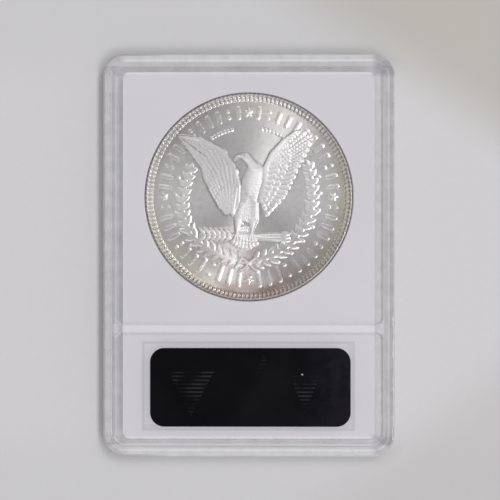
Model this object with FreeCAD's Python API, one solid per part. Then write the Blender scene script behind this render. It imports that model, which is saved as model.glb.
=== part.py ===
import FreeCAD, Part
import os

# Graded coin slab: two clear shells, welded round their rims, seal one large coin in a white insert.
#
# Frame, in millimetres: the slab lies on its front face with its rear face up. +Z leaves the rear
# face, +Y runs from the label end to the coin end, and the origin is the middle of the front rim.

# Closed slab
SLAB_WIDTH = 53.4
SLAB_LENGTH = 73.5
SLAB_THICKNESS = 7.0
CORNER_RADIUS = 4.0
OUTER_ROUND = 0.4
SEAM_CHAMFER = 0.15
SEAM_GAP = 0.05

# Stacking rim and the two windows inside it
RIM_HEIGHT = 0.7
RIM_EDGE_ROUND = 0.15
WINDOW_WIDTH = 48.6
WINDOW_LENGTH = 69.0
WINDOW_RADIUS = 1.3
PANEL_THICKNESS = 1.4
BAR_WIDTH = 1.85
BAR_HEIGHT = 0.35
BAR_Y = -13.4

# Weld joint round the rim
WELD_INSET = 1.25
TONGUE_WIDTH = 0.8
TONGUE_HEIGHT = 0.6
TONGUE_SIDE_GAP = 0.1
BEAD_WIDTH = 0.3
BEAD_HEIGHT = 0.05

# Coin, and the running clearance that lets it creep round in its hole
COIN_DIAMETER = 38.1
COIN_THICKNESS = 2.4
COIN_RIM_WIDTH = 1.1
COIN_FIELD_DEPTH = 0.25
COIN_EDGE_BREAK = 0.08
COIN_Y = 10.7
COIN_RADIAL_GAP = 0.08

# Opaque insert, sealed between the window panels
INSERT_WIDTH = 46.2
INSERT_LENGTH = 67.2
INSERT_RADIUS = 1.2
INSERT_SIDE_GAP = 0.2
INSERT_FACE_GAP = 0.05
HOLE_CHAMFER = 0.15

# Paper grade label, let into the insert's front face
LABEL_Y = -23.9
LABEL_WIDTH = 39.2
LABEL_LENGTH = 17.0
LABEL_THICKNESS = 0.2
LABEL_SIDE_GAP = 0.2

# Foil security label, in a shallow pocket on the rear shell's outer face
POCKET_WIDTH = 38.5
POCKET_LENGTH = 15.9
POCKET_DEPTH = 0.15
FOIL_WIDTH = 36.7
FOIL_LENGTH = 14.4
FOIL_RADIUS = 2.6
FOIL_THICKNESS = 0.1
FOIL_OFFSET = (0.3, -0.25)  # stuck on by hand, a little off the pocket's centre

# Derived levels
MID_Z = SLAB_THICKNESS / 2
REAR_WINDOW_Z = SLAB_THICKNESS - RIM_HEIGHT
CAVITY_TOP_Z = REAR_WINDOW_Z - PANEL_THICKNESS
BAR_TOP_Z = REAR_WINDOW_Z + BAR_HEIGHT
INSERT_REAR_Z = CAVITY_TOP_Z - INSERT_FACE_GAP
INSERT_FRONT_Z = SLAB_THICKNESS - INSERT_REAR_Z
CUTTER_TOP_Z = SLAB_THICKNESS + 1.0


def outline(width, length, radius, z, centre_y=0.0):
    """Closed wire of a rounded rectangle centred on x = 0; a radius of 0 leaves sharp corners."""
    half_x, half_y = width / 2, length / 2
    turn = 0.5 ** 0.5
    edges = []
    corners = [(1, -1), (1, 1), (-1, 1), (-1, -1)]
    starts, ends, middles = [], [], []
    for side_x, side_y in corners:
        centre = FreeCAD.Vector(side_x * (half_x - radius), centre_y + side_y * (half_y - radius), z)
        along_x = FreeCAD.Vector(side_x * radius, 0, 0)
        along_y = FreeCAD.Vector(0, side_y * radius, 0)
        enters_on_y = side_x * side_y < 0
        starts.append(centre + (along_y if enters_on_y else along_x))
        ends.append(centre + (along_x if enters_on_y else along_y))
        middles.append(centre + (along_x + along_y) * turn)
    for index in range(4):
        if radius > 0:
            edges.append(Part.Arc(starts[index], middles[index], ends[index]).toShape())
        edges.append(Part.LineSegment(ends[index], starts[(index + 1) % 4]).toShape())
    return Part.Wire(edges)


def plate(width, length, radius, low, high, centre_y=0.0):
    """Flat rounded rectangle between two levels."""
    face = Part.Face(outline(width, length, radius, low, centre_y))
    return face.extrude(FreeCAD.Vector(0, 0, high - low))


def edges_at(shape, z):
    """The edges that lie wholly in the plane z."""
    return [
        edge
        for edge in shape.Edges
        if abs(edge.BoundBox.ZMin - z) < 1e-6 and abs(edge.BoundBox.ZMax - z) < 1e-6
    ]


def sloped_pocket(width, length, radius, floor, slope, centre_y=0.0):
    """Cutter for a pocket of the given floor size whose foot flares at 45 degrees for slope."""
    cutter = plate(
        width + 2 * slope, length + 2 * slope, radius + slope, floor, CUTTER_TOP_Z, centre_y
    )
    return cutter.makeChamfer(slope, edges_at(cutter, floor))


def window_cutter():
    """Everything removed inside the stacking rim: two windows and the top of the bar between them."""
    half_length = WINDOW_LENGTH / 2
    bar_low, bar_high = BAR_Y - BAR_WIDTH / 2, BAR_Y + BAR_WIDTH / 2
    over_bar = sloped_pocket(
        WINDOW_WIDTH + 2 * BAR_HEIGHT,
        WINDOW_LENGTH + 2 * BAR_HEIGHT,
        WINDOW_RADIUS + BAR_HEIGHT,
        BAR_TOP_Z,
        RIM_HEIGHT - BAR_HEIGHT,
    )
    cutter = over_bar
    for low, high in ((bar_high, half_length), (-half_length, bar_low)):
        pocket = sloped_pocket(
            WINDOW_WIDTH, high - low, WINDOW_RADIUS, REAR_WINDOW_Z, BAR_HEIGHT, (low + high) / 2
        )
        cutter = cutter.fuse(pocket)
    return cutter


def weld_ring(width, low, high):
    """Ring that follows the slab's outline at WELD_INSET, as wide as given."""
    outer_inset = WELD_INSET - width / 2
    inner_inset = WELD_INSET + width / 2
    rings = [
        plate(SLAB_WIDTH - 2 * inset, SLAB_LENGTH - 2 * inset, CORNER_RADIUS - inset, low, high)
        for inset in (outer_inset, inner_inset)
    ]
    return rings[0].cut(rings[1])


def rear_half():
    """The half above the seam: outer form, cavity, stacking rim, windows and bar."""
    seam = MID_Z + SEAM_GAP / 2
    shell = plate(SLAB_WIDTH, SLAB_LENGTH, CORNER_RADIUS, seam, SLAB_THICKNESS)
    shell = shell.makeFillet(OUTER_ROUND, edges_at(shell, SLAB_THICKNESS))
    shell = shell.makeChamfer(SEAM_CHAMFER, edges_at(shell, seam))
    cavity = plate(
        INSERT_WIDTH + 2 * INSERT_SIDE_GAP,
        INSERT_LENGTH + 2 * INSERT_SIDE_GAP,
        INSERT_RADIUS + INSERT_SIDE_GAP,
        0.0,
        CAVITY_TOP_Z,
    )
    shell = shell.cut(cavity).cut(window_cutter())
    rim_edges = [
        edge
        for edge in edges_at(shell, SLAB_THICKNESS)
        if max(abs(edge.BoundBox.XMin), abs(edge.BoundBox.XMax)) < SLAB_WIDTH / 2 - 2 * OUTER_ROUND
        and max(abs(edge.BoundBox.YMin), abs(edge.BoundBox.YMax)) < SLAB_LENGTH / 2 - 2 * OUTER_ROUND
    ]
    return shell.makeFillet(RIM_EDGE_ROUND, rim_edges)


def turned_to_front(shape):
    """The same shape on the front side of the seam plane."""
    return shape.mirror(FreeCAD.Vector(0, 0, MID_Z), FreeCAD.Vector(0, 0, 1))


def rear_shell():
    """Rear shell: a groove takes the front shell's tongue, and a pocket takes the foil label."""
    seam = MID_Z + SEAM_GAP / 2
    groove_floor = MID_Z - SEAM_GAP / 2 + TONGUE_HEIGHT + BEAD_HEIGHT
    groove = weld_ring(TONGUE_WIDTH + 2 * TONGUE_SIDE_GAP, seam - 1.0, groove_floor)
    pocket = plate(
        POCKET_WIDTH, POCKET_LENGTH, 0.0, REAR_WINDOW_Z - POCKET_DEPTH, CUTTER_TOP_Z, LABEL_Y
    )
    return rear_half().cut(groove).cut(pocket)


def front_shell():
    """Front shell: a tongue stands in the rear shell's groove, and its bead is the weld."""
    seam = MID_Z - SEAM_GAP / 2
    tongue_top = seam + TONGUE_HEIGHT
    tongue = weld_ring(TONGUE_WIDTH, seam, tongue_top)
    bead = weld_ring(BEAD_WIDTH, tongue_top, tongue_top + BEAD_HEIGHT)
    return turned_to_front(rear_half()).fuse(tongue).fuse(bead).removeSplitter()


def coin_insert():
    """Opaque core: a round hole holds the coin, and a recess in front holds the grade label."""
    core = plate(INSERT_WIDTH, INSERT_LENGTH, INSERT_RADIUS, INSERT_FRONT_Z, INSERT_REAR_Z)
    hole = Part.makeCylinder(
        COIN_DIAMETER / 2 + COIN_RADIAL_GAP,
        INSERT_REAR_Z - INSERT_FRONT_Z,
        FreeCAD.Vector(0, COIN_Y, INSERT_FRONT_Z),
    )
    core = core.cut(hole)
    mouths = [edge for edge in core.Edges if edge.Curve.TypeId == "Part::GeomCircle" and edge.Closed]
    core = core.makeChamfer(HOLE_CHAMFER, mouths)
    recess = plate(
        LABEL_WIDTH + 2 * LABEL_SIDE_GAP,
        LABEL_LENGTH + 2 * LABEL_SIDE_GAP,
        0.0,
        INSERT_FRONT_Z,
        INSERT_FRONT_Z + LABEL_THICKNESS,
        LABEL_Y,
    )
    return core.cut(recess)


def coin():
    """Coin blank with a raised rim on both faces; it turns about the insert hole's axis."""
    radius = COIN_DIAMETER / 2
    low = MID_Z - COIN_THICKNESS / 2
    blank = Part.makeCylinder(radius, COIN_THICKNESS, FreeCAD.Vector(0, COIN_Y, low))
    faces = edges_at(blank, low) + edges_at(blank, low + COIN_THICKNESS)
    blank = blank.makeChamfer(COIN_EDGE_BREAK, faces)
    for field_low in (low, low + COIN_THICKNESS - COIN_FIELD_DEPTH):
        field = Part.makeCylinder(
            radius - COIN_RIM_WIDTH, COIN_FIELD_DEPTH, FreeCAD.Vector(0, COIN_Y, field_low)
        )
        blank = blank.cut(field)
    return blank


def grade_label():
    """Card label, flush with the insert's front face."""
    top = INSERT_FRONT_Z + LABEL_THICKNESS
    return plate(LABEL_WIDTH, LABEL_LENGTH, 0.0, INSERT_FRONT_Z, top, LABEL_Y)


def security_foil():
    """Self-adhesive foil label, stuck to the floor of the rear pocket."""
    floor = REAR_WINDOW_Z - POCKET_DEPTH
    foil = plate(FOIL_WIDTH, FOIL_LENGTH, FOIL_RADIUS, floor, floor + FOIL_THICKNESS, LABEL_Y)
    foil.translate(FreeCAD.Vector(FOIL_OFFSET[0], FOIL_OFFSET[1], 0))
    return foil


SUB_PARTS = {
    "front_shell": front_shell,
    "rear_shell": rear_shell,
    "coin_insert": coin_insert,
    "coin": coin,
    "grade_label": grade_label,
    "security_foil": security_foil,
}

os.makedirs("parts", exist_ok=True)
for node, make in SUB_PARTS.items():
    solid = make()
    solid.exportStep(f"parts/{node}.step")
    print(node, "valid" if solid.isValid() else "INVALID", f"{solid.Volume:.1f} mm3")
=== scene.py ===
import math
from functools import partial
from types import SimpleNamespace

import bpy
import numpy as np
from mathutils import Matrix, Vector


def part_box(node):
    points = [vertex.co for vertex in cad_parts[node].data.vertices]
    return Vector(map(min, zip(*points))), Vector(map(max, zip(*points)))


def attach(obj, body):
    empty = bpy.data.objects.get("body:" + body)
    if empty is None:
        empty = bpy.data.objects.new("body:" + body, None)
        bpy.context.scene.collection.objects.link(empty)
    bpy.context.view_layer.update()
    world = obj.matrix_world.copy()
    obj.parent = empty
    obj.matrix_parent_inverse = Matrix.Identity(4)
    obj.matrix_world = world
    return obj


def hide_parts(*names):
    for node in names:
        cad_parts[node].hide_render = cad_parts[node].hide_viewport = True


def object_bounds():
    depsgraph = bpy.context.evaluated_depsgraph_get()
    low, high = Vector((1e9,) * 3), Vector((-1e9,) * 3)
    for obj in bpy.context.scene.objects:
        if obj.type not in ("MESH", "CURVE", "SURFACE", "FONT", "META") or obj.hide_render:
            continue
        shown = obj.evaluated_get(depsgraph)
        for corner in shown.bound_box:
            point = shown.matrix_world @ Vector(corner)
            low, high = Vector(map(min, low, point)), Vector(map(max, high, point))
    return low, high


# Looks of the graded coin slab. Lengths are in metres, in the CAD's frame, except where a name ends in
# _MM or a comment says millimetres: the coin's relief is drawn in millimetres from the coin's centre.

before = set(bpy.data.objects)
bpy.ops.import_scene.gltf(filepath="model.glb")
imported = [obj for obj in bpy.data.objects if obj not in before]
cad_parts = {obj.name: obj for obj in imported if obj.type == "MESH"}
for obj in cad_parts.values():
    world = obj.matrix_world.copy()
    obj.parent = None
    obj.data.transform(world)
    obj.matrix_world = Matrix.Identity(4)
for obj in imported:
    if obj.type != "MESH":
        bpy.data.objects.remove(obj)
cad_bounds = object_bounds()
MM = 0.001

# ------------------------------------------------------------------ shader helpers


def add_node(tree, kind, inputs=None, **settings):
    """A shader node. inputs maps a socket's name or number to a value, or to a socket to link from."""
    made = tree.nodes.new("ShaderNode" + kind)
    for key, value in settings.items():
        setattr(made, key, value)
    for key, value in (inputs or {}).items():
        if isinstance(value, bpy.types.NodeSocket):
            tree.links.new(value, made.inputs[key])
        else:
            made.inputs[key].default_value = value
    return made


def math_node(operation, tree, first, *others):
    """Output of a Math node, or of a chain of them that takes in more than two values one by one."""
    if not others:
        return add_node(tree, "Math", {0: first}, operation=operation).outputs[0]
    for other in others:
        first = add_node(tree, "Math", {0: first, 1: other}, operation=operation).outputs[0]
    return first


total = partial(math_node, "ADD")
difference = partial(math_node, "SUBTRACT")
product = partial(math_node, "MULTIPLY")
ratio = partial(math_node, "DIVIDE")
greatest = partial(math_node, "MAXIMUM")
least = partial(math_node, "MINIMUM")
magnitude = partial(math_node, "ABSOLUTE")
above = partial(math_node, "GREATER_THAN")
below = partial(math_node, "LESS_THAN")


def band(tree, value, low, high):
    """1 where value lies between low and high."""
    return product(tree, above(tree, value, low), below(tree, value, high))


def ramp(tree, value, low, high, out_low=0.0, out_high=1.0, smooth=False):
    """value mapped from low..high to out_low..out_high and held there."""
    ends = {0: value, 1: low, 2: high, 3: out_low, 4: out_high}
    curve = "SMOOTHSTEP" if smooth else "LINEAR"
    return add_node(tree, "MapRange", ends, interpolation_type=curve).outputs[0]


def line(tree, value, half_width, strength):
    """strength where value is near 0, falling to 0 at half_width."""
    return ramp(tree, magnitude(tree, value), 0.5 * half_width, half_width, strength, 0.0)


def axes(tree, vector):
    """The x, y and z of a vector."""
    return add_node(tree, "SeparateXYZ", {0: vector}).outputs


def vector_value(operation, tree, *vectors):
    """The number that a Vector Math node makes of one or two vectors."""
    return add_node(tree, "VectorMath", dict(enumerate(vectors)), operation=operation).outputs["Value"]


length = partial(vector_value, "LENGTH")
distance = partial(vector_value, "DISTANCE")
dot = partial(vector_value, "DOT_PRODUCT")


def noise(tree, where, scale, detail=2.0, rough=0.5, stretch=None):
    """Noise of the given scale per metre at the points where, in 0..1."""
    if stretch:
        where = add_node(tree, "Mapping", {"Vector": where, "Scale": stretch}).outputs[0]
    inputs = {"Vector": where, "Scale": scale, "Detail": detail, "Roughness": rough}
    return add_node(tree, "TexNoise", inputs).outputs["Fac"]


def blotches(tree, where, scale, low, high, out_low=0.0, out_high=1.0, **settings):
    """Noise whose low..high is spread over out_low..out_high."""
    return ramp(tree, noise(tree, where, scale, **settings), low, high, out_low, out_high)


def mix_colour(tree, share, first, second):
    """Output socket of a colour mix."""
    return add_node(tree, "Mix", {0: share, 6: first, 7: second}, data_type="RGBA").outputs[2]


def mix_shader(tree, share, first, second):
    """Output socket of a shader mix."""
    return add_node(tree, "MixShader", {0: share, 1: first, 2: second}).outputs[0]


def shader(tree, kind, inputs=None):
    """Output socket of a surface shader."""
    return add_node(tree, "Bsdf" + kind, inputs).outputs[0]


def bump(tree, height, depth, strength):
    """Normal from a height in 0..1 that stands for depth metres."""
    return add_node(tree, "Bump", {"Height": height, "Distance": depth, "Strength": strength}).outputs[0]


def object_point(tree):
    """The surface point in the frame's metres; it turns with the piece's body."""
    return add_node(tree, "TexCoord").outputs["Object"]


def new_material(name):
    """An empty material and its node tree."""
    material = bpy.data.materials.new(name)
    material.use_nodes = True
    material.node_tree.nodes.clear()
    return material, material.node_tree


def finish_material(tree, surface):
    """Joins the surface to the material's output."""
    add_node(tree, "OutputMaterial", {"Surface": surface})


def paint(node_name, material):
    """Gives a CAD node its material."""
    node_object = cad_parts[node_name]
    node_object.data.materials.clear()
    node_object.data.materials.append(material)


# ------------------------------------------------------------------ the shells' plastic

SLAB_CENTRE = (cad_bounds[0] + cad_bounds[1]) / 2
SLAB_HALF = (cad_bounds[1] - cad_bounds[0]) / 2
CORNER_RADIUS = 4.0 * MM
# the clear border round the insert: its width, and how far from the middle it begins along x and y
BORDER_WIDTH = 3.7 * MM
BORDER_FROM = (22.8 * MM, 33.2 * MM)
POCKET_SIZE = (38.5 * MM, 15.9 * MM)
POCKET_MIDDLE = -23.9 * MM
BAR_EDGES = (-12.5 * MM, -14.35 * MM)
BAR_HEIGHTS = (6.4 * MM, 6.9 * MM)
# the tongue, the groove and the seam: how far in from the wall, and how high
WELD_DEPTHS = (0.3 * MM, 3.3 * MM)
WELD_HEIGHTS = (2.7 * MM, 4.4 * MM)
# painted shade on the moulded edges lies only above this height
REAR_SIDE = 5.5 * MM
OUTLINE_WIDTH = 0.4 * MM
EDGE_WIDTH = 0.3 * MM
POCKET_MARGIN = 1.1 * MM
END_STRIP = 2.2 * MM
PLASTIC_IOR = 1.5


def past_arc_centre(tree, point):
    """How far a point is past the centre of the nearest corner's arc, along x and along y."""
    return [
        difference(tree, magnitude(tree, value), half - CORNER_RADIUS)
        for value, half in zip(axes(tree, point), SLAB_HALF[:2])
    ]


def inset(tree, point):
    """How far in from the slab's outer wall a point is, in metres."""
    over = past_arc_centre(tree, point)
    past = [greatest(tree, value, 0.0) for value in over]
    out = length(tree, add_node(tree, "CombineXYZ", dict(enumerate(past))).outputs[0])
    inner = least(tree, greatest(tree, *over), 0.0)
    return difference(tree, CORNER_RADIUS, total(tree, out, inner))


def weld_mask(tree, depth, z):
    """1 on the faces of the tongue, the groove and the seam inside the rim."""
    return product(tree, band(tree, depth, *WELD_DEPTHS), band(tree, z, *WELD_HEIGHTS))


def painted_pocket_shade(tree, x, y):
    """Painted shade on the edge of the foil's pocket, and on its margins on the right and at the label end.
    """
    across = difference(tree, magnitude(tree, x), POCKET_SIZE[0] / 2)
    down = difference(tree, POCKET_MIDDLE, y)
    along = difference(tree, magnitude(tree, down), POCKET_SIZE[1] / 2)
    past = greatest(tree, across, along)
    darker_sides = greatest(tree, above(tree, x, 18.0 * MM), above(tree, down, 7.0 * MM))
    margin = product(tree, band(tree, past, -POCKET_MARGIN, 0.0), 0.12, darker_sides)
    return greatest(tree, line(tree, past, 0.26 * MM, 0.2), margin)


def painted_bar_shade(tree, y):
    """Painted shade along the two edges of the crossbar."""
    edges = [
        line(tree, difference(tree, y, edge), EDGE_WIDTH, strength)
        for edge, strength in zip(BAR_EDGES, (0.07, 0.14))
    ]
    return greatest(tree, *edges)


def painted_border_shade(tree, x, y, depth):
    """Painted shade in fine bands along the border, each on one side of the slab."""
    right, left = x, product(tree, x, -1.0)
    coin_end, label_end = y, product(tree, y, -1.0)
    fade = 0.2 * MM
    bands = []
    # depths from the outer wall in millimetres, side, where that side starts, and strength
    for low, high, side, start, strength in (
        (1.45, 3.3, coin_end, BORDER_FROM[1], 0.2),
        (1.8, 1.95, label_end, BORDER_FROM[1], 0.2),
        (2.8, 3.75, right, BORDER_FROM[0], 0.13),
        (1.9, 2.6, right, BORDER_FROM[0], 0.06),
        (1.65, 2.3, left, BORDER_FROM[0], 0.13),
    ):
        on_side = ramp(tree, side, start - fade, start + fade)
        bands.append(product(tree, band(tree, depth, low * MM, high * MM), on_side, strength))
    return greatest(tree, *bands)


def painted_corner_shade(tree, point, x, y):
    """Painted shade on the moulded corners, most of all the one at the right of the coin end."""
    corner = ramp(tree, least(tree, *past_arc_centre(tree, point)), -0.6 * MM, 0.8 * MM, smooth=True)
    right_coin_end = product(tree, above(tree, x, 0.0), above(tree, y, 0.0), 0.18)
    mottled = blotches(tree, point, 700.0, 0.35, 0.65, 0.1, 0.4)
    return product(tree, corner, total(tree, mottled, right_coin_end))


def painted_edge_shade(tree, point, depth):
    """Painted shade on the rear shell's moulded edges: pocket, crossbar, outline, border and corners."""
    x, y, z = axes(tree, point)
    on_pane = above(tree, depth, 2.3 * MM)
    moulded = product(tree, greatest(tree, painted_pocket_shade(tree, x, y), painted_bar_shade(tree, y)), on_pane)
    # painted shade: the outline is darker on the side away from the light
    left = ramp(tree, x, -20 * MM, -15 * MM, 0.38, 0.06)
    outline = product(tree, below(tree, depth, OUTLINE_WIDTH), left)
    bands = painted_border_shade(tree, x, y, depth)
    share = greatest(tree, moulded, outline, bands, painted_corner_shade(tree, point, x, y))
    return product(tree, share, above(tree, z, REAR_SIDE))


def scuffing(tree, point, depth, level):
    """How milky the plastic is: its border and its crossbar are scuffed by stacking and handling."""
    _, y, z = axes(tree, point)
    at_end = above(tree, magnitude(tree, y), cad_bounds[1].y - END_STRIP)
    scuffs = total(
        tree,
        blotches(tree, point, 420.0, 0.3, 0.7, 0.24, 0.36, stretch=(1.0, 1.0, 0.3)),
        ramp(tree, level, 0.6, 0.9, 0.2, 0.0),
        ramp(tree, at_end, 0.0, 1.0, 0.04, 0.34),
        product(tree, band(tree, depth, 0.95 * MM, 1.3 * MM), 0.16),
        product(tree, band(tree, depth, 2.75 * MM, 3.7 * MM), 0.1),
        product(tree, band(tree, depth, 2.0 * MM, 2.3 * MM), below(tree, y, -BORDER_FROM[1]), 0.35),
    )
    on_border = ramp(tree, depth, BORDER_WIDTH - 0.1 * MM, BORDER_WIDTH + 0.1 * MM, 1.0, 0.0)
    on_bar = product(tree, band(tree, y, *BAR_EDGES[::-1]), band(tree, z, *BAR_HEIGHTS))
    return greatest(tree, product(tree, on_border, scuffs), product(tree, on_bar, 0.55))


def clear_plastic():
    """Polished clear styrene, very slightly wavy, with a scuffed border and painted shade on its moulded
    edges.
    """
    material, tree = new_material("clear_plastic")
    point = object_point(tree)
    depth = inset(tree, point)
    # 1 on level faces, 0 on upright walls
    level = magnitude(tree, axes(tree, add_node(tree, "NewGeometry").outputs["Normal"])[2])
    looks = {
        "Base Color": (0.995, 0.996, 0.998, 1.0),
        "Roughness": 0.004,
        "IOR": PLASTIC_IOR,
        "Transmission Weight": 1.0,
        "Normal": bump(tree, noise(tree, point, 45.0, 1.0), 0.03 * MM, 0.25),
    }
    plastic = shader(tree, "Principled", looks)
    milky = {"Base Color": (0.97, 0.96, 0.975, 1.0), "Roughness": 0.45, "IOR": PLASTIC_IOR}
    scuffed = shader(tree, "Principled", milky)
    plastic = mix_shader(tree, scuffing(tree, point, depth, level), plastic, scuffed)
    # a flat dark colour, mixed in as painted shade on the moulded edges
    shade = shader(tree, "Diffuse", {"Color": (0.26, 0.24, 0.27, 1.0)})
    plastic = mix_shader(tree, painted_edge_shade(tree, point, depth), plastic, shade)
    # inside the rim the two shells are melted together, so nothing bends at their tongue and groove
    welded = shader(tree, "Transparent", {"Color": (0.99, 0.99, 0.99, 1.0)})
    plastic = mix_shader(tree, weld_mask(tree, depth, axes(tree, point)[2]), plastic, welded)
    # light that has already bounced off what is inside goes straight out, as through a thin pane
    path = add_node(tree, "LightPath").outputs
    thin = shader(tree, "Transparent", {"Color": (0.98, 0.98, 0.98, 1.0)})
    for bounce in ("Is Diffuse Ray", "Is Glossy Ray"):
        plastic = mix_shader(tree, path[bounce], plastic, thin)
    # level faces pass the lamps' light, and walls throw it aside
    lets_lamps = shader(tree, "Transparent", {"Color": ramp(tree, level, 0.62, 0.72, 0.02, 0.995)})
    finish_material(tree, mix_shader(tree, path["Is Shadow Ray"], plastic, lets_lamps))
    return material


# ------------------------------------------------------------------ the materials inside


def white_core():
    """Satin white moulded plastic, very slightly lilac, with a fine spark-eroded grain."""
    material, tree = new_material("white_core")
    point = object_point(tree)
    cloud = blotches(tree, point, 70.0, 0.3, 0.7, detail=3.0)
    grain = noise(tree, point, 5200.0)
    looks = {
        "Base Color": mix_colour(tree, cloud, (0.885, 0.865, 0.905, 1.0), (0.91, 0.89, 0.93, 1.0)),
        "Roughness": ramp(tree, grain, 0.3, 0.7, 0.42, 0.58),
        "Specular IOR Level": 0.15,
        "Normal": bump(tree, grain, 0.01 * MM, 0.4),
    }
    finish_material(tree, shader(tree, "Principled", looks))
    return material


def triangle_mask(tree, across, up, half_width, height):
    """1 inside a triangle that widens from its point at up = 0 to its far edge at up = height."""
    reach = product(tree, up, half_width / height)
    return product(tree, above(tree, reach, magnitude(tree, across)), below(tree, up, height))


def hatched_triangles(tree, point, x, y):
    """How strongly the foil's hatched triangles show: they come through in patches."""
    shapes = []
    # in millimetres: middle, half width, height and the point's y; two point down and one points up
    for middle, half_width, height, point_y, way, strength in (
        (-10.5, 4.1, 8.2, -29.5, 1.0, 1.0),
        (10.3, 2.8, 7.6, -29.2, 1.0, 1.0),
        (2.7, 1.7, 4.2, -18.1, -1.0, 0.5),
    ):
        across = difference(tree, x, middle * MM)
        up = product(tree, difference(tree, y, point_y * MM), way)
        shape = triangle_mask(tree, across, up, half_width * MM, height * MM)
        shapes.append(product(tree, shape, strength))
    hatch_spacing = 0.72 * MM
    hatch = math_node("SINE", tree, product(tree, y, 2 * math.pi / hatch_spacing))
    patches = blotches(tree, point, 300.0, 0.4, 0.66, 0.1, 1.0, detail=1.5)
    return product(tree, greatest(tree, *shapes), ramp(tree, hatch, -0.1, 0.5), patches)


def dark_foil(centre):
    """Glossy black security foil with faint hatched triangles, a right end made lighter by painted
    reflection, and a white speck.
    """
    material, tree = new_material("dark_foil")
    point = object_point(tree)
    x, y, _ = axes(tree, point)
    cloud = noise(tree, point, 120.0, 3.0)
    colour = mix_colour(tree, cloud, (0.0035, 0.0033, 0.004, 1.0), (0.006, 0.0055, 0.0078, 1.0))
    # painted reflection: the right end is lighter, in patches
    right_end = ramp(tree, x, 9 * MM, 17 * MM, smooth=True)
    painted_reflection_right = product(tree, right_end, blotches(tree, point, 330.0, 0.4, 0.6, 0.5, 1.3))
    ghost = hatched_triangles(tree, point, x, y)
    from_speck = distance(tree, point, (9.8 * MM, -21.8 * MM, centre.z))
    for amount, tone in (
        (painted_reflection_right, (0.0145, 0.0132, 0.0185, 1.0)),
        (product(tree, ghost, 0.42), (0.03, 0.031, 0.033, 1.0)),
        (ramp(tree, from_speck, 0.14 * MM, 0.2 * MM, 1.0, 0.0), (0.55, 0.55, 0.55, 1.0)),
    ):
        colour = mix_colour(tree, amount, colour, tone)
    looks = {
        "Base Color": colour,
        "Roughness": total(tree, ramp(tree, cloud, 0.3, 0.7, 0.09, 0.16), product(tree, ghost, 0.15)),
        "IOR": 1.45,
        "Normal": bump(tree, cloud, 0.02 * MM, 0.3),
    }
    foil = shader(tree, "Principled", looks)
    # so thin that its shadow on the core, just under the window, can't be made out
    shadow_ray = add_node(tree, "LightPath").outputs["Is Shadow Ray"]
    finish_material(tree, mix_shader(tree, shadow_ray, foil, shader(tree, "Transparent")))
    return material


def label_card(centre):
    """Printed card: a coloured header, plain bars in place of words, and a bar code."""
    material, tree = new_material("label_card")
    point = object_point(tree)
    x = difference(tree, axes(tree, point)[0], centre.x)
    y = difference(tree, axes(tree, point)[1], centre.y)
    fibre = noise(tree, point, 2600.0, 3.0)
    colour = mix_colour(tree, fibre, (0.80, 0.80, 0.77, 1.0), (0.87, 0.87, 0.85, 1.0))
    header = product(tree, band(tree, y, 5.4 * MM, 7.4 * MM), band(tree, x, -18.4 * MM, 18.4 * MM))
    colour = mix_colour(tree, header, colour, (0.10, 0.17, 0.33, 1.0))
    # the bars, in millimetres from the card's centre: middle height, left end and right end
    bar_half = 0.45
    ink = []
    for level, low, high in ((2.9, -17.0, 1.0), (0.6, -17.0, -4.0), (-1.7, -17.0, -1.0), (-4.6, -17.0, -9.0)):
        on_bar = band(tree, y, (level - bar_half) * MM, (level + bar_half) * MM)
        ink.append(product(tree, on_bar, band(tree, x, low * MM, high * MM)))
    stripe_width = 0.28 * MM
    stripe = math_node("FLOOR", tree, product(tree, x, 1 / stripe_width))
    chance = add_node(tree, "TexWhiteNoise", {1: stripe}, noise_dimensions="1D").outputs[0]
    code_area = product(tree, band(tree, x, 4.0 * MM, 17.5 * MM), band(tree, y, -6.2 * MM, -1.6 * MM))
    ink.append(product(tree, above(tree, chance, 0.5), code_area))
    colour = mix_colour(tree, greatest(tree, *ink), colour, (0.03, 0.03, 0.035, 1.0))
    looks = {"Base Color": colour, "Roughness": 0.7, "Normal": bump(tree, fibre, 0.01 * MM, 0.4)}
    finish_material(tree, shader(tree, "Principled", looks))
    return material


# ------------------------------------------------------------------ the coin's silver

coin_low, coin_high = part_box("coin")
COIN_CENTRE = (coin_low + coin_high) / 2
COIN_RADIUS = (coin_high.x - coin_low.x) / 2
COIN_RADIUS_MM = COIN_RADIUS / MM
COIN_HALF_MM = (coin_high.z - coin_low.z) / 2 / MM
FIELD_DEPTH_MM = 0.25
BEAD_COUNT = 146
REED_COUNT = 180


def coin_place(tree):
    """Where a point is on the coin: from its centre, as a share of its radius, and by direction."""
    local = add_node(tree, "VectorMath", {0: object_point(tree), 1: COIN_CENTRE}, operation="SUBTRACT")
    x, y, _ = axes(tree, local.outputs[0])
    flat = add_node(tree, "CombineXYZ", {0: x, 1: y}).outputs[0]
    radius = length(tree, flat)
    never_zero = greatest(tree, radius, 0.1 * MM)
    return SimpleNamespace(
        flat=flat,
        share=ratio(tree, radius, COIN_RADIUS),
        never_zero=never_zero,
        angle=math_node("ARCTAN2", tree, y, x),
        right=ratio(tree, x, never_zero),
        down=ratio(tree, product(tree, y, -1.0), never_zero),
    )


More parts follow.
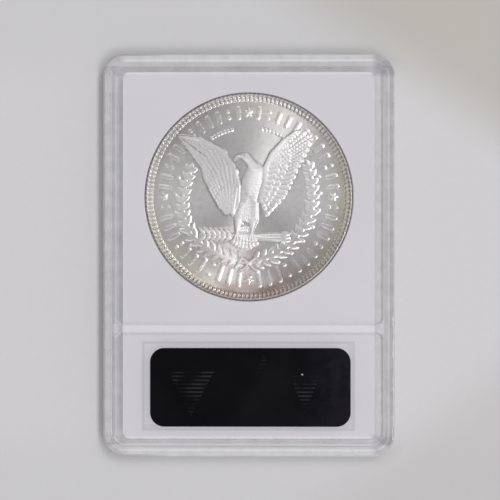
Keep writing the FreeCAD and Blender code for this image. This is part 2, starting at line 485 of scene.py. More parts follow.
def toning_and_painted_shade(tree, at, cloud):
    """Layers of colour: gold tone to the right and below, rose tone at the bottom, greys near the rim and at
    the lower right, and painted shade near the rim at the upper left and upper right.
    """
    patch = noise(tree, at.flat, 420.0, 3.0, 0.6)
    ragged = total(tree, at.share, ramp(tree, cloud, 0.3, 0.7, -0.06, 0.06))
    rim_zone = ramp(tree, ragged, 0.80, 1.0, smooth=True)
    side = ramp(tree, at.right, 0.1, 1.0, smooth=True)
    gold = product(tree, rim_zone, ramp(tree, total(tree, at.down, side), -0.2, 0.9, 0.2, 0.95))

    ragged = total(tree, at.share, ramp(tree, patch, 0.3, 0.7, -0.03, 0.03))
    rose_zone = ramp(tree, ragged, 0.81, 0.92, smooth=True)
    rose = product(tree, rose_zone, ramp(tree, at.down, 0.6, 1.0, smooth=True), 0.97)

    low_down = ramp(tree, at.down, 0.4, 0.98, 0.0, 0.78, smooth=True)
    off_centre = ramp(tree, at.share, 0.3, 0.6, smooth=True)
    blush = product(tree, ramp(tree, cloud, 0.34, 0.62), low_down, off_centre)

    lower_right = ratio(tree, dot(tree, at.flat, (0.72, -0.69, 0.0)), COIN_RADIUS)
    lower_right = ramp(tree, lower_right, 0.62, 0.98, smooth=True)
    # greyer in patches at the lower right, and greyer near the rim all round
    greyer_lower_right = product(tree, lower_right, ramp(tree, patch, 0.3, 0.7, 0.25, 0.6))
    greyer_near_rim = ramp(tree, at.share, 0.74, 0.9, 0.0, 0.12, smooth=True)
    # painted shade: greyer still near the rim at the upper left and upper right
    diagonal = product(tree, magnitude(tree, product(tree, at.right, at.down)), 2.0)
    painted_shade_upper_sides = product(tree, diagonal, below(tree, at.down, 0.0), rim_zone, 0.62)
    return [
        (gold, (0.75, 0.70, 0.50, 1.0)),
        (rose, (0.38, 0.215, 0.19, 1.0)),
        (blush, (0.66, 0.555, 0.52, 1.0)),
        (greyer_lower_right, (0.50, 0.47, 0.42, 1.0)),
        (greyer_near_rim, (0.5, 0.485, 0.47, 1.0)),
        (painted_shade_upper_sides, (0.52, 0.5, 0.49, 1.0)),
    ]


def painted_lustre_highlights(tree, at):
    """Layers of painted highlight: the lustre's bright arcs at the lower left and the top, and a lighter
    field on the right.
    """
    layers = []
    arc_zone = product(
        tree, ramp(tree, at.share, 0.76, 0.82, smooth=True), ramp(tree, at.share, 0.91, 0.96, 1.0, 0.0)
    )
    for way, amount in (((-0.64, -0.77, 0.0), 0.85), ((0.17, 0.985, 0.0), 0.6)):
        toward = ramp(tree, ratio(tree, dot(tree, at.flat, way), at.never_zero), 0.9, 0.985, smooth=True)
        layers.append((product(tree, arc_zone, toward, amount), (1.0, 0.97, 0.87, 1.0)))
    right = ramp(tree, at.right, 0.1, 1.0, smooth=True)
    field = product(tree, right, ramp(tree, at.share, 0.7, 0.82, 0.7, 0.0))
    layers.append((field, (0.98, 0.965, 0.96, 1.0)))
    return layers


def dirt_and_painted_shade(tree, at):
    """Layers: a dark toothed ring at the rim's edge, painted shade of the gap round the coin; grey specks on
    the metal; and painted shade in the relief's hollows.
    """
    waves = math_node("SINE", tree, product(tree, at.angle, float(BEAD_COUNT)))
    # painted shade of the gap between the coin and its hole, toothed with the beads
    rim_edge = ramp(tree, at.share, 0.972, 0.988, smooth=True)
    painted_gap_shade = product(tree, rim_edge, ramp(tree, waves, -0.6, 0.6, 0.45, 1.0))
    specks = product(tree, blotches(tree, at.flat, 1300.0, 0.38, 0.66, detail=3.0, rough=0.65), 0.3)
    # painted shade in the relief's hollows, less of it near the rim
    hollow = add_node(tree, "Attribute", attribute_name="hollow").outputs["Fac"]
    inner = ramp(tree, at.share, 0.78, 0.9, 1.0, 0.3)
    return [
        (painted_gap_shade, (0.27, 0.25, 0.24, 1.0)),
        (specks, (0.52, 0.51, 0.5, 1.0)),
        (product(tree, ramp(tree, hollow, 0.008, 0.05, 0.0, 0.6), inner), (0.33, 0.32, 0.32, 1.0)),
    ]


def silver():
    """Struck silver: radial flow lines give the turning lustre, the metal is toned in from the rim, and
    painted highlights and painted shade are mixed into its colour.
    """
    material, tree = new_material("struck_silver")
    at = coin_place(tree)
    cloud = noise(tree, at.flat, 190.0, 4.0, 0.55)
    colour = mix_colour(tree, cloud, (0.87, 0.845, 0.84, 1.0), (0.93, 0.905, 0.89, 1.0))
    # frosted devices on brighter fields, with bag marks
    height = add_node(tree, "Attribute", attribute_name="relief").outputs["Fac"]
    raised = ramp(tree, height, 0.01, 0.14, smooth=True)
    frost = product(tree, raised, ramp(tree, at.share, 0.76, 0.92, 1.0, 0.25))
    frosted = [(product(tree, frost, 0.5), (0.97, 0.955, 0.955, 1.0))]
    for amount, tone in toning_and_painted_shade(tree, at, cloud) + painted_lustre_highlights(tree, at) + dirt_and_painted_shade(tree, at) + frosted:
        colour = mix_colour(tree, amount, colour, tone)
    around = {0: product(tree, at.angle, 60.0), 1: product(tree, at.share, 3.0)}
    flow = noise(tree, add_node(tree, "CombineXYZ", around).outputs[0], 1.0)
    marks = noise(tree, at.flat, 1900.0, 3.0, 0.65)
    surface_height = total(tree, product(tree, flow, 0.35), product(tree, marks, 0.65))
    looks = {
        "Base Color": colour,
        "Metallic": ramp(tree, frost, 0.0, 1.0, 0.69, 0.56),
        "Roughness": ramp(tree, frost, 0.0, 1.0, 0.26, 0.42),
        "Anisotropic": 0.82,
        "Tangent": add_node(tree, "Tangent", direction_type="RADIAL", axis="Z").outputs[0],
        "Normal": bump(tree, surface_height, 0.01 * MM, 0.5),
    }
    finish_material(tree, shader(tree, "Principled", looks))
    return material


def pale_floor():
    """Plain matt paper sweep, with painted shade that makes it a little greyer at the slab's two ends and in
    two far corners, and a painted shadow just beside the ends.
    """
    material, tree = new_material("pale_floor")
    point = object_point(tree)
    fibre = noise(tree, point, 900.0, 3.0)
    colour = mix_colour(tree, fibre, (0.83, 0.815, 0.825, 1.0), (0.86, 0.845, 0.855, 1.0))
    from_middle = magnitude(tree, axes(tree, point)[1])
    # painted shade: greyer towards the slab's two ends
    ends = ramp(tree, from_middle, 28 * MM, 42 * MM, 0.0, 0.4, smooth=True)
    # painted shadow on the floor just beside the slab's two ends
    beside_slab = ramp(tree, inset(tree, point), -3.5 * MM, -0.5 * MM, smooth=True)
    painted_shadow_beside_ends = product(tree, beside_slab, ramp(tree, from_middle, 34 * MM, 36.5 * MM, 0.0, 0.26))
    layers = [(ends, (0.74, 0.735, 0.745, 1.0)), (painted_shadow_beside_ends, (0.45, 0.45, 0.445, 1.0))]
    # painted shade in two far corners, warm at the upper right
    for way, amount, tone in (
        ((0.55, 0.83, 0.0), 0.9, (0.66, 0.64, 0.58, 1.0)),
        ((0.6, -0.8, 0.0), 0.5, (0.68, 0.65, 0.64, 1.0)),
    ):
        corner = ramp(tree, dot(tree, point, way), 38 * MM, 52 * MM, 0.0, amount, smooth=True)
        layers.append((corner, tone))
    for amount, tone in layers:
        colour = mix_colour(tree, amount, colour, tone)
    looks = {"Base Color": colour, "Roughness": 0.9, "Specular IOR Level": 0.0}
    finish_material(tree, shader(tree, "Principled", looks))
    return material


# ------------------------------------------------------------------ coin relief, in millimetres

# A face holds the x and y of its points and their relief, which is their height over the field.

# radii at which the ring of beads starts, the rim rises, and the rim's outer slope begins
BEADS_FROM_MM = (17.65, 17.85)
RIM_RISE_MM = (18.42, 18.55)
RIM_SLOPE_MM = 18.85


def smooth_step(low, high, value):
    """0 below low, 1 above high, and a smooth rise between them."""
    t = np.clip((value - low) / (high - low), 0.0, 1.0)
    return t * t * (3.0 - 2.0 * t)


def polar(radius, angle, centre=(0.0, 0.0)):
    """Point at a radius and an angle from the centre."""
    return np.array([centre[0] + radius * math.cos(angle), centre[1] + radius * math.sin(angle)])


def raise_to(face, where, height):
    """Lifts the face to height at the points where."""
    face.relief[where] = np.maximum(face.relief[where], height)


def round_section(spread):
    """Height of a half circle at a distance of spread from its middle."""
    return np.sqrt(np.clip(1 - spread**2, 0, 1))


def near(face, ends, reach):
    """Indices of the points within reach of the box round the given end points."""
    xs, ys = zip(*ends)
    in_x = (face.x > min(xs) - reach) & (face.x < max(xs) + reach)
    in_y = (face.y > min(ys) - reach) & (face.y < max(ys) + reach)
    return np.nonzero(in_x & in_y)[0]


def along_across(x, y, root, tip):
    """Share of the way from root to tip, and signed distance from that line."""
    run = np.array(tip) - np.array(root)
    span = math.hypot(*run)
    along = ((x - root[0]) * run[0] + (y - root[1]) * run[1]) / span**2
    across = ((y - root[1]) * run[0] - (x - root[0]) * run[1]) / span
    return along, across


def blade(face, root, tip, half_width, height, base=0.0, vein=0.03):
    """Leaf from root to tip: domed across, pointed at both ends, with a sunk middle vein."""
    vein_width, fullness = 0.09, 0.8
    at = near(face, (root, tip), half_width)
    along, across = along_across(face.x[at], face.y[at], root, tip)
    width = half_width * np.sin(math.pi * np.clip(along, 0, 1) ** fullness)
    spread = np.abs(across) / np.maximum(width, 1e-6)
    inside = (along > 0) & (along < 1) & (spread < 1)
    dome = height * round_section(spread) - vein * np.exp(-((across / vein_width) ** 2))
    raise_to(face, at[inside], (base + dome)[inside])


def feather(face, root, tip, root_width, tip_width, height, base=0.0):
    """Feather that widens from root to tip, where it is rounded; it is higher along one edge."""
    tip_share = 0.12
    barb_spacing, barb_slant, barb_height = 0.62, 0.5, 0.016
    at = near(face, (root, tip), max(root_width, tip_width))
    along, across = along_across(face.x[at], face.y[at], root, tip)
    width = root_width + (tip_width - root_width) * np.clip(along, 0, 1)
    width = width * round_section(np.clip(along - (1 - tip_share), 0, 1) / tip_share)
    spread = across / np.maximum(width, 1e-6)
    inside = (along > 0) & (along < 1) & (np.abs(spread) < 1)
    dome = height * (0.7 + 0.3 * spread) * round_section(spread)
    span = math.hypot(tip[0] - root[0], tip[1] - root[1])
    barbs = np.sin(2 * math.pi * (along * span / barb_spacing + np.abs(across) / barb_slant))
    dome = dome + barb_height * barbs * (dome > 0.4 * height)
    raise_to(face, at[inside], (base + dome)[inside])


def limb(face, root, tip, root_radius, tip_radius, height, base=0.0):
    """Rounded tapering bar from root to tip."""
    at = near(face, (root, tip), max(root_radius, tip_radius))
    run = np.array(tip) - np.array(root)
    span = max(math.hypot(*run), 1e-6)
    dx, dy = face.x[at] - root[0], face.y[at] - root[1]
    along = np.clip((dx * run[0] + dy * run[1]) / span**2, 0, 1)
    gap = np.hypot(dx - along * run[0], dy - along * run[1])
    radius = root_radius + (tip_radius - root_radius) * along
    inside = gap < radius
    raise_to(face, at[inside], (base + height * round_section(gap / radius))[inside])


def pellet(face, centre, radius, height):
    """Round dot."""
    limb(face, centre, centre, radius, radius, height)


def chain(face, points, radii, height, base=0.0):
    """Bars joined end to end."""
    for k in range(len(points) - 1):
        limb(face, points[k], points[k + 1], radii[k], radii[k + 1], height, base)


def star(face, centre, size, height, points=5, turn=0.0):
    """Faceted star."""
    inner, facet = 0.42, 0.18
    at = near(face, (centre,), size)
    dx, dy = face.x[at] - centre[0], face.y[at] - centre[1]
    radius = np.hypot(dx, dy)
    sector = math.pi / points
    angle = np.abs((np.arctan2(dy, dx) - turn + sector) % (2 * sector) - sector)
    # straight edge from the point (1, 0) to the notch at (inner, sector)
    edge = polar(inner, sector) - np.array([1.0, 0.0])
    px, py = radius / size * np.cos(angle), radius / size * np.sin(angle)
    depth = (edge[0] * py - edge[1] * (px - 1.0)) / math.hypot(*edge)
    inside = depth > 0
    raise_to(face, at[inside], np.minimum(height, height * depth / facet)[inside])


def along_path(points, share):
    """Point at a share of the length of a path through the given points."""
    points = np.array(points, float)
    steps = np.hypot(*np.diff(points, axis=0).T)
    reach = np.concatenate([[0.0], np.cumsum(steps)])
    at = share * reach[-1]
    return np.array([np.interp(at, reach, points[:, 0]), np.interp(at, reach, points[:, 1])])


def feather_row(face, roots, tips, count, height, base):
    """Feathers side by side, from points along one path to points along another."""
    starts = [along_path(roots, i / (count - 1)) for i in range(count)]
    ends = [along_path(tips, i / (count - 1)) for i in range(count)]
    for i in range(count):
        j = i + 1 if i + 1 < count else i - 1
        _, root_gap = along_across(*starts[j], starts[i], ends[i])
        _, tip_gap = along_across(*ends[j], starts[i], ends[i])
        widths = [max(0.16, 0.56 * abs(gap)) for gap in (root_gap, tip_gap)]
        feather(face, starts[i], ends[i], *widths, height, base)


def left_wing(face):
    """Four overlapping rows, which point from the body towards the raised tip."""
    rows = (
        ([(-5.0, 7.6), (-7.8, 4.4)], [(-8.4, 10.4), (-12.4, 11.4), (-12.9, 10.9), (-9.8, 6.9)], 11),
        ([(-3.0, 4.2), (-6.6, 0.6)], [(-4.6, 8.6), (-7.0, 8.9), (-8.9, 7.2), (-8.5, 4.2)], 10),
        ([(-2.6, 0.0), (-5.2, -2.3)], [(-2.4, 5.3), (-4.4, 5.9), (-6.6, 4.6), (-7.3, 1.8)], 9),
        ([(-2.9, -3.0), (-4.3, -3.2)], [(-2.2, 1.9), (-3.6, 2.3), (-5.2, 1.4), (-6.1, -0.3)], 8),
    )
    for step, (roots, tips, count) in enumerate(rows):
        feather_row(face, roots, tips, count, 0.13, 0.02 + 0.03 * step)
    upper = [(-12.9, 11.2), (-9.0, 10.6), (-5.4, 8.6), (-3.1, 5.8)]
    lower = [(-2.0, 2.2), (-2.0, -1.0), (-3.0, -3.2)]
    chain(face, upper + lower, (0.2, 0.4, 0.5, 0.55, 0.5, 0.45, 0.4), 0.1, 0.06)


def right_wing(face):
    """Long feathers with two shorter rows over them."""
    roots = [(4.4, 7.0), (3.8, 4.8), (3.5, 3.0), (2.9, 1.0), (2.4, -1.0)]
    tips = [(9.4, 12.2), (11.9, 11.4), (10.9, 8.5), (8.9, 4.9), (7.5, 1.7), (6.4, -0.3), (3.4, -3.4)]
    feather_row(face, roots, tips, 19, 0.14, 0.0)
    for reach, count, height, base in ((0.55, 13, 0.13, 0.05), (0.28, 10, 0.12, 0.1)):
        short_tips = [
            along_path(roots, share) * (1 - reach) + along_path(tips, share) * reach
            for share in np.linspace(0, 1, 5)
        ]
        feather_row(face, roots, short_tips, count, height, base)
    edge = [(8.6, 12.0), (6.4, 10.2), (4.4, 7.8), (3.3, 5.4), (3.0, 2.8), (2.2, -0.6)]
    chain(face, edge, (0.2, 0.45, 0.6, 0.7, 0.65, 0.55), 0.1, 0.08)


def tail_and_legs(face):
    """Short tail, and two legs with a few feathers down each thigh."""
    tail_roots = [(-1.6, -5.6), (-0.6, -5.2), (0.5, -5.6)]
    tail_tips = [(-3.2, -8.6), (-1.8, -9.5), (-0.2, -9.6), (1.4, -8.8)]
    feather_row(face, tail_roots, tail_tips, 8, 0.1, 0.02)
    for side, hip, foot in ((-1, (-1.0, -1.6), (-2.2, -6.2)), (1, (0.6, -1.4), (0.6, -6.2))):
        knee = ((hip[0] + foot[0]) / 2 + 0.15 * side, -3.9)
        chain(face, [hip, knee, foot], (1.15, 1.0, 0.3), 0.2)
        for k in range(5):
            start = (hip[0] + 0.3 * (k - 2), -1.6 - 0.3 * k)
            tip = (start[0] + 0.12 * (k - 2) - 0.2, start[1] - 2.1)
            feather(face, start, tip, 0.16, 0.24, 0.08, 0.14)


def body_and_head(face):
    """Rounded body, a neck bent to one side, a hooked beak and a sunk eye."""
    chain(face, [(1.2, 4.6), (0.7, 2.6), (0.0, 0.0), (-0.3, -2.6)], (1.7, 1.95, 1.7, 1.3), 0.21)
    chain(face, [(-0.6, 7.4), (0.3, 6.4), (0.9, 5.4), (1.2, 4.4)], (0.82, 0.8, 1.05, 1.5), 0.22)
    chain(face, [(-1.1, 7.5), (-2.1, 7.5), (-2.6, 6.9)], (0.46, 0.34, 0.12), 0.19)
    eye, eye_reach, eye_depth = (-0.95, 7.65), 0.22, 0.08
    face.relief[near(face, (eye,), eye_reach)] -= eye_depth


def breast_feathers(face):
    """Small feathers in staggered rows, wherever the body is."""
    spine = [(1.1, 5.4), (0.7, 2.6), (0.0, 0.0), (-0.3, -3.2)]
    rows, spacing, half_width, height = 17, 0.66, 0.3, 0.035
    body_height = 0.15
    for row in range(rows):
        middle = along_path(spine, row / (rows - 1))
        for k in range(-2, 3):
            root = (middle[0] + spacing * (k + 0.5 * (row % 2)), middle[1])
            body = near(face, (root,), 0.2)
            if not len(body) or face.relief[body].max() <= body_height:
                continue
            at = near(face, (root,), 0.5)
            along, across = along_across(face.x[at], face.y[at], root, (root[0] - 0.06, root[1] - 0.75))
            width = half_width * np.sqrt(np.clip(along * (1.15 - along) * 3.5, 0, 1))
            inside = (along > 0) & (along < 1) & (np.abs(across) < width)
            face.relief[at[inside]] += height * along[inside]


def eagle(face):
    """Eagle with raised wings, its head turned to one side."""
    for draw in (left_wing, right_wing, tail_and_legs, body_and_head, breast_feathers):
        draw(face)


def perch(face):
    """Arrows to one side and a leafy branch to the other, under the claws."""
    for lean in (-0.55, 0.0, 0.55):
        limb(face, (-2.4, -7.1 + 0.35 * lean), (6.2, -7.4 + lean), 0.2, 0.2, 0.12)
        blade(face, (5.6, -7.4 + lean), (7.6, -7.45 + 1.15 * lean), 0.45, 0.12, 0.02)
    limb(face, (2.2, -7.0), (-8.4, -7.0), 0.26, 0.14, 0.13)
    for index in range(6):
        root = (-3.2 - 0.95 * index, -7.0)
        for side in (-1, 1):
            blade(face, root, (root[0] - 1.25, root[1] + side * 1.3), 0.4, 0.13, 0.01)
    for claw_x in (-2.1, 0.6):
        for toe in (-0.55, 0.0, 0.55):
            limb(face, (claw_x, -6.2), (claw_x + toe, -7.7), 0.28, 0.16, 0.18)


def leafy_branch(face, path, side):
    """Sprigs of three leaves along a path, and a berry inside every other one."""
    count = 17
    for index in range(count):
        share = (index + 0.6) / count
        here = along_path(path, share)
        ahead = along_path(path, min(1.0, share + 0.02))
        back = along_path(path, max(0.0, share - 0.02))
        heading = math.atan2(ahead[1] - back[1], ahead[0] - back[0])
        limb(face, back, ahead, 0.16, 0.16, 0.06)
        for spread, reach in ((-0.85, 1.75), (0.0, 1.9), (0.85, 1.75)):
            tip = polar(reach * (1.3 - 0.4 * share), heading + spread, here)
            blade(face, here, tip, 0.46, 0.055, 0.01, vein=0.012)
        if index % 2:
            pellet(face, polar(-1.5, heading + 1.35 * side, here), 0.27, 0.08)


def bow(face):
    """The wreath's bow: two loops, two loose ends and a knot."""
    for side in (-1, 1):
        loop = [(0.0, -12.0), (side * 1.3, -11.2), (side * 1.9, -12.0), (0.0, -12.2)]
        chain(face, loop, (0.25, 0.3, 0.25, 0.2), 0.15)
        loose_end = [(0.0, -12.2), (side * 0.7, -13.0), (side * 1.5, -13.5)]
        chain(face, loose_end, (0.25, 0.25, 0.3), 0.14)
    pellet(face, (0.0, -12.1), 0.45, 0.18)


def wreath(face):
    """Two leafy branches, tied with a bow at the bottom, that rise on either side of the eagle."""
    left = [(-0.1, -12.0), (-4.8, -10.9), (-8.2, -9.0), (-10.6, -6.9)]
    left += [(-11.9, -4.0), (-12.2, -0.9), (-11.6, 2.6), (-10.6, 5.2)]
    right = [(0.1, -12.0), (4.4, -10.8), (7.4, -8.8), (9.8, -6.0)]
    right += [(11.3, -3.2), (11.7, 0.2), (11.5, 3.0), (10.9, 5.6)]
    leafy_branch(face, left, -1)
    leafy_branch(face, right, 1)
    bow(face)


def border_marks(face):
    """Ring of strokes, pairs of pellets and stars where a coin of this kind has its legend."""
    count, outer = 52, 16.3
    for index in range(count):
        angle = math.radians(90 + 360 * index / count)
        # the marks are longer at the foot of the coin
        inner = 14.6 - 0.9 * smooth_step(0.7, 0.9, -math.sin(angle))
        if index % 13 == 0:
            star(face, polar((inner + outer + 0.1) / 2, angle), 1.05, 0.09, turn=angle)
        elif index % 4 == 2:
            for radius in (inner + 0.3, outer - 0.2):
                pellet(face, polar(radius, angle), 0.36, 0.045)
        else:
            limb(face, polar(inner, angle), polar(outer, angle), 0.34, 0.42, 0.042)
    # two short inner arcs of pellets over the wings, given in degrees
    for start, stop in ((104, 122), (60, 79)):
        for angle in np.radians(np.linspace(start, stop, 7)):
            pellet(face, polar(12.7, angle), 0.32, 0.05)


def sunburst(face):
    """Plain design for the front face: a star over rays, inside a ring of small stars."""
    ray_count, star_count = 24, 26
    for index in range(ray_count):
        angle = 2 * math.pi * index / ray_count
        reach = 9.0 if index % 2 else 11.5
        blade(face, polar(4.2, angle), polar(reach, angle), 0.6, 0.14)
    star(face, (0.0, 0.0), 3.6, 0.16, turn=math.pi / 2)
    for index in range(star_count):
        angle = math.radians(90 + 360 * index / star_count)
        star(face, polar(0.83 * COIN_RADIUS_MM, angle), 1.05, 0.12, turn=angle)


def rim_and_beads(face):
    """Flat raised rim, sloped at its outer edge, and the ring of beads just inside it."""
    ring_height, bead_height, slope_drop = 0.03, 0.13, 0.12
    radius = np.hypot(face.x, face.y)
    lobes = 0.5 + 0.5 * np.cos(np.arctan2(face.y, face.x) * BEAD_COUNT)
    beads = ring_height + bead_height * smooth_step(0.1, 0.8, lobes)
    rim = FIELD_DEPTH_MM * smooth_step(*RIM_RISE_MM, radius)
    raised = np.maximum(smooth_step(*BEADS_FROM_MM, radius) * beads, rim)
    slope = slope_drop * smooth_step(RIM_SLOPE_MM, COIN_RADIUS_MM, radius)
    face.relief = np.maximum(face.relief, raised) - slope


def struck_face(x, y, designs):
    """Height of the relief over the field at each point."""
    face = SimpleNamespace(x=x, y=y, relief=np.zeros_like(x))
    for design in (*designs, rim_and_beads):
        design(face)
    return np.minimum(face.relief, FIELD_DEPTH_MM)


def hollows(x, y, relief):
    """How far each point lies below the average height around it."""
    cells, reach = 420, 4
    row, column = (
        np.clip(((place / COIN_RADIUS_MM + 1) / 2 * cells).astype(int), 0, cells - 1) for place in (y, x)
    )
    heights, count = np.zeros((cells, cells)), np.zeros((cells, cells))
    np.add.at(heights, (row, column), relief)
    np.add.at(count, (row, column), 1.0)
    for axis in (0, 1):
        heights, count = (
            sum(np.roll(grid, step, axis) for step in range(-reach, reach + 1)) for grid in (heights, count)
        )
    around = heights / np.maximum(count, 1.0)
    return np.maximum(around[row, column] - relief, 0.0)


# ------------------------------------------------------------------ the struck coin's mesh

REAR_RING_STEP_MM, REAR_POINTS = 0.145, 1440
FRONT_RING_STEP_MM, FRONT_POINTS = 0.28, 720
EDGE_POINTS = 720
REED_DEPTH_MM = 0.07
# rings of the edge, from the rear face to the front one: share of the half thickness, and of the reeds' depth
EDGE_RINGS = ((0.92, 0.0), (0.86, 1.0), (-0.86, 1.0), (-0.92, 0.0))


def ring_count(radius, finest):
    """How many points a ring has: halved towards the centre, so that the cells stay near square."""
    for smallest, share in ((16.4, 1), (10.2, 2), (5.2, 4), (2.6, 8), (1.2, 16)):
        if radius >= smallest:
            return finest // share
    return finest // 32


def face_rings(step, finest):
    """Rings of points over a face, as pairs of x and y, from its centre to its edge."""
    rings = [(np.zeros(1), np.zeros(1))]
    for radius in np.linspace(step, COIN_RADIUS_MM, int(round(COIN_RADIUS_MM / step))):
        count = ring_count(radius, finest)
        angle = 2 * math.pi * np.arange(count) / count
        rings.append((radius * np.cos(angle), radius * np.sin(angle)))
    return rings


def edge_rings():
    """Rings of the reeded edge, as x, y and z."""
    angle = 2 * math.pi * np.arange(EDGE_POINTS) / EDGE_POINTS
    reeds = 0.5 - 0.5 * np.cos(REED_COUNT * angle)
    rings = []
    for level, depth in EDGE_RINGS:
        radius = COIN_RADIUS_MM - REED_DEPTH_MM * depth * reeds
        z = np.full(EDGE_POINTS, level * COIN_HALF_MM)
        rings.append((radius * np.cos(angle), radius * np.sin(angle), z))
    return rings


def joined(rings):
    """Each coordinate of all the rings' points, in one row."""
    return [np.concatenate(values) for values in zip(*rings)]


def stitch(faces, inner, outer, inner_start, outer_start):
    """Faces between two rings with the same number of points, or one with twice the other's."""
    if inner == outer:
        for i in range(inner):
            j = (i + 1) % inner
            faces.append((inner_start + i, outer_start + i, outer_start + j, inner_start + j))
        return
    few, many, few_start, many_start = inner, outer, inner_start, outer_start
    flip = few > many
    if flip:
        few, many, few_start, many_start = outer, inner, outer_start, inner_start
    for i in range(few):
        a, b = few_start + i, few_start + (i + 1) % few
        p, q, r = (many_start + (2 * i + k) % many for k in range(3))
        for face in ((a, p, q), (a, q, b), (b, q, r)):
            faces.append(face[::-1] if flip else face)


def closed_faces(counts):
    """Faces over rings that run from one single point to another, given each ring's number of points."""
    starts = [sum(counts[:k]) for k in range(len(counts))]
    faces = [(0, starts[1] + i, starts[1] + (i + 1) % counts[1]) for i in range(counts[1])]
    for k in range(1, len(counts) - 2):
        stitch(faces, counts[k], counts[k + 1], starts[k], starts[k + 1])
    last, centre = starts[-2], starts[-1]
    faces += [(centre, last + (i + 1) % counts[-2], last + i) for i in range(counts[-2])]
    return faces


def struck_coin():
    """Closed coin mesh: eagle face up, star and rays face down, reeded edge."""
    rear = face_rings(REAR_RING_STEP_MM, REAR_POINTS)
    front = face_rings(FRONT_RING_STEP_MM, FRONT_POINTS)[::-1]
    edge = edge_rings()
    (rear_x, rear_y), (front_x, front_y), (edge_x, edge_y, edge_z) = joined(rear), joined(front), joined(edge)
    rear_relief = struck_face(rear_x, rear_y, (wreath, border_marks, perch, eagle))
    front_relief = struck_face(front_x, -front_y, (sunburst,))
    field_z = COIN_HALF_MM - FIELD_DEPTH_MM
    points = [
        np.concatenate([rear_x, edge_x, front_x]),
        np.concatenate([rear_y, edge_y, front_y]),
        np.concatenate([field_z + rear_relief, edge_z, -field_z - front_relief]),
    ]
    marks = {
        "relief": (rear_relief, np.full_like(edge_z, FIELD_DEPTH_MM), front_relief),
        "hollow": (
            hollows(rear_x, rear_y, rear_relief),
            np.zeros_like(edge_z),
            hollows(front_x, front_y, front_relief),
        ),
    }
    mesh = bpy.data.meshes.new("struck_coin")
    places = np.stack(points, 1) * MM + np.array(COIN_CENTRE)
    mesh.from_pydata(places.tolist(), [], closed_faces([len(ring[0]) for ring in rear + edge + front]))
    mesh.update()
    mesh.polygons.foreach_set("use_smooth", [True] * len(mesh.polygons))
    for name, values in marks.items():
        attribute = mesh.attributes.new(name, "FLOAT", "POINT")
        attribute.data.foreach_set("value", np.concatenate(values).astype(np.float32))
    mesh.set_sharp_from_angle(angle=math.radians(60))
    piece = bpy.data.objects.new("struck_coin", mesh)
    bpy.context.scene.collection.objects.link(piece)
    mesh.materials.append(silver())
    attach(piece, "coin")
    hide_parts("coin")


# ------------------------------------------------------------------ stage

SENSOR_MM = 36.0
CAMERA_HEIGHT = 0.45
CAMERA_LEAN = (0.008, 0.0, 0.0)
VIEW_WIDTH = 0.09198
VIEW_CENTRE = (0.0002, 0.00097)
FLOOR_HALF = 1.5
FLOOR_GAP = 0.03 * MM
FLOOR_CORNERS = ((-1, -1), (1, -1), (1, 1), (-1, 1))


def aim(thing, place, target):
    """Puts a camera or lamp at place, looking at target with +Y up in its view."""
    back = (Vector(place) - Vector(target)).normalized()
    right = Vector((0.0, 1.0, 0.0)).cross(back).normalized()
    up = back.cross(right)
    turn = Matrix((right, up, back)).transposed().to_4x4()
    thing.matrix_world = Matrix.Translation(place) @ turn


def place_camera(scene):
    """Camera high above the slab, a little to the right of its middle."""
    data = bpy.data.cameras.new("camera")
    data.sensor_width = SENSOR_MM
    data.lens = SENSOR_MM * CAMERA_HEIGHT / VIEW_WIDTH
    camera = bpy.data.objects.new("camera", data)
    scene.collection.objects.link(camera)
    target = Vector((*VIEW_CENTRE, COIN_CENTRE.z))
    aim(camera, target + Vector(CAMERA_LEAN) + Vector((0, 0, CAMERA_HEIGHT)), target)
    scene.camera = camera


def softbox(scene, name, azimuth, zenith, reach, width, height, watts, lights="glossy"):
    """Rectangular soft lamp aimed at the slab; lights says which kind of surface it lights."""
    data = bpy.data.lights.new(name, "AREA")
    data.shape = "RECTANGLE"
    data.size, data.size_y = width, height
    data.energy = watts
    lamp = bpy.data.objects.new(name, data)
    scene.collection.objects.link(lamp)
    across = polar(math.sin(math.radians(zenith)), math.radians(azimuth))
    direction = Vector((*across, math.cos(math.radians(zenith))))
    aim(lamp, SLAB_CENTRE + direction * reach, SLAB_CENTRE)
    lamp.visible_diffuse = lights == "diffuse"
    lamp.visible_glossy = lights == "glossy"
    lamp.visible_transmission = False


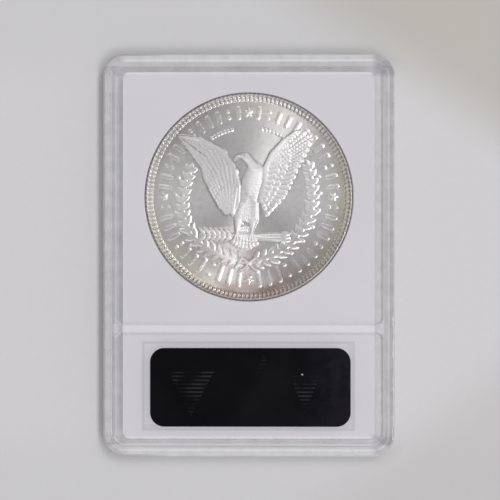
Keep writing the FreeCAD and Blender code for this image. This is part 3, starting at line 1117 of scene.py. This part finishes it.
def place_lamps(scene):
    """One long lamp that lights only what is matt, and small ones that only glossy surfaces show."""
    softbox(scene, "overhead_right", -3, 10, 1.4, 0.19, 0.8, 8.5, lights="diffuse")
    softbox(scene, "lustre", -18, 21, 0.8, 0.12, 0.12, 0.86)
    softbox(scene, "right", 0, 28, 0.8, 0.3, 0.4, 0.4)
    softbox(scene, "left", 180, 28, 0.8, 0.3, 0.3, 0.2)
    softbox(scene, "far", 95, 26, 0.8, 0.3, 0.3, 0.42)
    softbox(scene, "near", 260, 26, 0.8, 0.35, 0.35, 0.38)


def light_sky(scene):
    """Sky that is brighter on the right, and dark straight above."""
    world = bpy.data.worlds.new("studio")
    world.use_nodes = True
    tree = world.node_tree
    tree.nodes.clear()
    away = add_node(tree, "TexCoord").outputs["Generated"]
    bright_side = ramp(tree, dot(tree, away, (0.94, -0.3, 0.15)), -0.6, 0.8, smooth=True)
    level = total(tree, 0.15, product(tree, bright_side, 0.38))
    # straight above are the camera and a dark ceiling
    overhead = ramp(tree, axes(tree, away)[2], 0.97, 0.995, 1.0, 0.12, smooth=True)
    level = product(tree, level, overhead)
    sky = add_node(tree, "Background", {"Color": (0.98, 0.975, 1.0, 1.0), "Strength": level})
    add_node(tree, "OutputWorld", {"Surface": sky.outputs[0]})
    world.cycles.sampling_method = "NONE"
    scene.world = world


def lay_floor(scene):
    """Square of paper just under the slab."""
    mesh = bpy.data.meshes.new("floor")
    corners = [(side_x * FLOOR_HALF, side_y * FLOOR_HALF, 0) for side_x, side_y in FLOOR_CORNERS]
    mesh.from_pydata(corners, [], [(0, 1, 2, 3)])
    mesh.materials.append(pale_floor())
    floor = bpy.data.objects.new("floor", mesh)
    floor.location.z = -FLOOR_GAP
    scene.collection.objects.link(floor)


def stage(scene):
    """Camera, lamps, sky and floor."""
    place_camera(scene)
    place_lamps(scene)
    light_sky(scene)
    lay_floor(scene)
    scene.view_settings.view_transform = "Standard"


# ------------------------------------------------------------------ the whole scene

shell_plastic = clear_plastic()
paint("front_shell", shell_plastic)
paint("rear_shell", shell_plastic)
paint("coin_insert", white_core())
foil_low, foil_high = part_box("security_foil")
paint("security_foil", dark_foil((foil_low + foil_high) / 2))
label_low, label_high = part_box("grade_label")
paint("grade_label", label_card((label_low + label_high) / 2))
struck_coin()
stage(bpy.context.scene)
